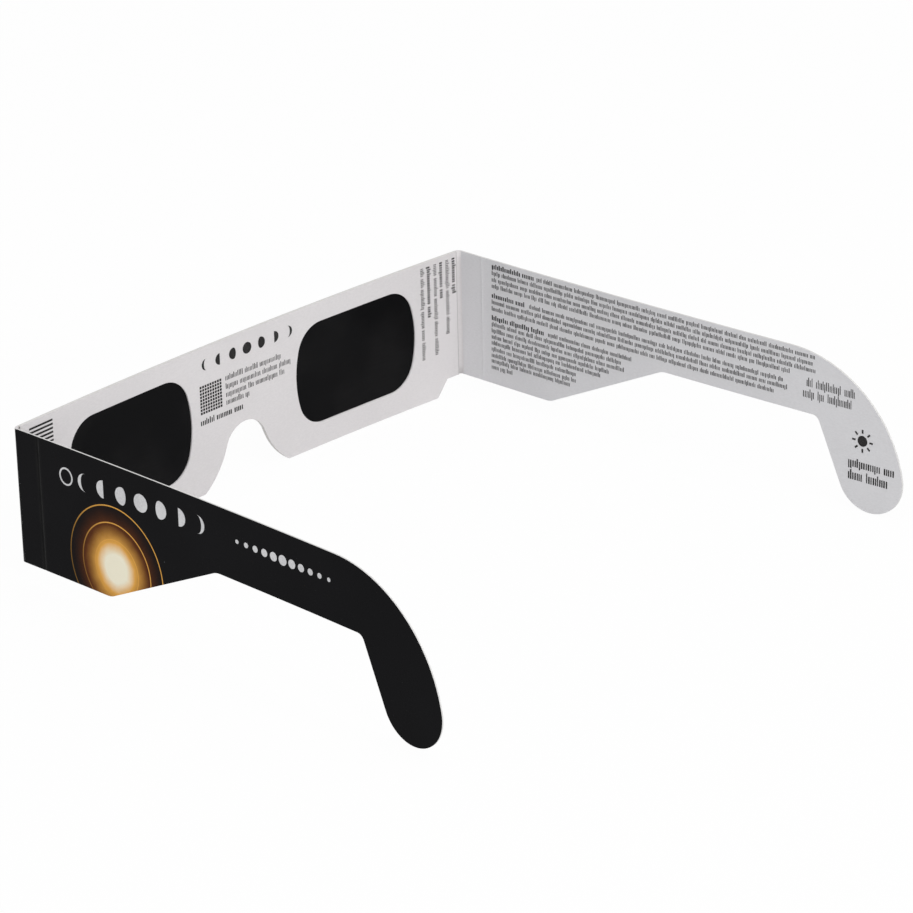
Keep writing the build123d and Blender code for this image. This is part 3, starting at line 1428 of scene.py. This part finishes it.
@dataclass(frozen=True)
class Studio:
    """Pale floor, even white surroundings, soft lamps and the camera of the picture."""

    floor_size: float = 8.0
    floor_drop: float = 0.2 * MM
    floor_tones: tuple[Colour, Colour] = ((0.85, 0.85, 0.85), (0.88, 0.88, 0.88))
    floor_scale: float = 6.0
    floor_roughness: float = 0.9
    floor_share: float = 0.965
    world_strength: float = 0.455
    white: Colour = (1.0, 1.0, 1.0)
    lamps: tuple[Lamp, ...] = (
        Lamp("key_lamp", (0.15, 1.30, 1.15), 0.9, 9.6),
        Lamp("side_lamp", (0.90, 0.90, 0.35), 0.9, 3.5),
        Lamp("top_lamp", (0.0, 0.06, 1.60), 0.9, 6.0),
    )
    target: Spot = (0.0, 0.06, 0.02)
    eye: Spot = (0.650769, 0.679062, 0.405765)
    right: Spot = (-0.67604, 0.736546, -0.02166)
    down: Spot = (0.303545, 0.251583, -0.919003)
    forward: Spot = (-0.671439, -0.627858, -0.393655)
    lens: float = 165.818
    sensor: float = 36.0
    clip: Place = (0.05, 30.0)

    def build(self) -> None:
        """Sets up everything round the glasses."""
        self._world()
        self._floor()
        for lamp in self.lamps:
            self._hang(lamp)
        self._camera()
        bpy.context.scene.view_settings.view_transform = "Standard"

    @staticmethod
    def _shown(tree: NodeTree) -> Socket:
        """Makes a mask of the rays that show the background itself.

        Args:
            tree: the node tree it goes in.

        Returns:
            A socket that is 1 for camera, glossy and transmission rays.
        """
        path = tree.nodes.new("ShaderNodeLightPath")
        total = path.outputs["Is Camera Ray"]
        for name in ("Is Glossy Ray", "Is Transmission Ray"):
            node = tree.nodes.new("ShaderNodeMath")
            node.operation = "MAXIMUM"
            tree.links.new(total, node.inputs[0])
            tree.links.new(path.outputs[name], node.inputs[1])
            total = node.outputs[0]
        return total

    def _world(self) -> None:
        """Makes an even white world, plain white where it is seen."""
        world = bpy.data.worlds.new("studio_white")
        world.use_nodes = True
        tree = world.node_tree
        light = tree.nodes["Background"]
        seen = tree.nodes.new("ShaderNodeBackground")
        for background, strength in ((light, self.world_strength), (seen, 1.0)):
            background.inputs["Color"].default_value = (*self.white, 1.0)
            background.inputs["Strength"].default_value = strength
        mix = tree.nodes.new("ShaderNodeMixShader")
        for source, target in zip((self._shown(tree), light.outputs[0], seen.outputs[0]),
                                  mix.inputs):
            tree.links.new(source, target)
        tree.links.new(mix.outputs[0], tree.nodes["World Output"].inputs["Surface"])
        bpy.context.scene.world = world

    def _floor(self) -> None:
        """Lays a pale floor that keeps a soft trace of the shadow."""
        half = self.floor_size / 2
        bm = bmesh.new()
        corners = [bm.verts.new((x * half, y * half, -self.floor_drop))
                   for x, y in ((-1, -1), (1, -1), (1, 1), (-1, 1))]
        bm.faces.new(corners)
        bench = NodeBench("pale_floor")
        mottle = bench.noise(self.floor_scale, SOFT_DETAIL)
        pale = bench.coat(bench.mix(mottle, *self.floor_tones), self.floor_roughness, 0.0)
        glow = bench.tree.nodes.new("ShaderNodeEmission")
        glow.inputs["Strength"].default_value = 1.0
        share = bench.math("MULTIPLY", self._shown(bench.tree), self.floor_share)
        mix = bench.tree.nodes.new("ShaderNodeMixShader")
        for source, target in zip((share, bench.shader.outputs[0], glow.outputs[0]), mix.inputs):
            bench.link(source, target)
        bench.link(mix.outputs[0], bench.tree.nodes["Material Output"].inputs["Surface"])
        floor = mesh_object("floor", bm, pale)
        floor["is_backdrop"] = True

    def _hang(self, lamp: Lamp) -> None:
        """Hangs a soft square lamp that looks at the glasses.

        Args:
            lamp: the lamp's name, place, size and power.
        """
        data = bpy.data.lights.new(lamp.name, "AREA")
        data.shape = "SQUARE"
        data.size = lamp.size
        data.energy = lamp.power
        light = bpy.data.objects.new(lamp.name, data)
        light.location = lamp.place
        aim = Vector(self.target) - Vector(lamp.place)
        light.rotation_euler = aim.to_track_quat("-Z", "Y").to_euler()
        bpy.context.scene.collection.objects.link(light)

    def _camera(self) -> None:
        """Places the camera at the picture's viewing angle."""
        data = bpy.data.cameras.new("picture_camera")
        data.lens = self.lens
        data.sensor_width = self.sensor
        data.clip_start, data.clip_end = self.clip
        camera = bpy.data.objects.new("picture_camera", data)
        axes = (Vector(self.right), -Vector(self.down), -Vector(self.forward))
        turn = Matrix([axis.normalized() for axis in axes]).transposed()
        camera.matrix_world = Matrix.Translation(self.eye) @ turn.to_4x4()
        bpy.context.scene.collection.objects.link(camera)
        bpy.context.scene.camera = camera


def write_sizes() -> None:
    boxes = {"cad": CAD_BOX, "visual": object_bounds()}
    {name: [list(corner) for corner in box] for name, box in boxes.items()}


def main() -> None:
    """Builds the sub-assemblies in order and reports each piece."""
    logging.basicConfig(level=logging.INFO, format="%(name)s: %(message)s")
    nodes = frame["nodes"]
    sizes = BoardSizes()
    palette = Palette()
    Studio().build()
    parts = {"front": Front(sizes, palette, nodes)}
    for side in Side:
        parts[f"{side.word} temple"] = Temple(sizes, side, palette, nodes)
    for label, part in parts.items():
        for piece in part.build():
            log.info("%s: %s, %d faces", label, piece.name, len(piece.data.polygons))
    write_sizes()


if __name__ == "__main__":
    main()
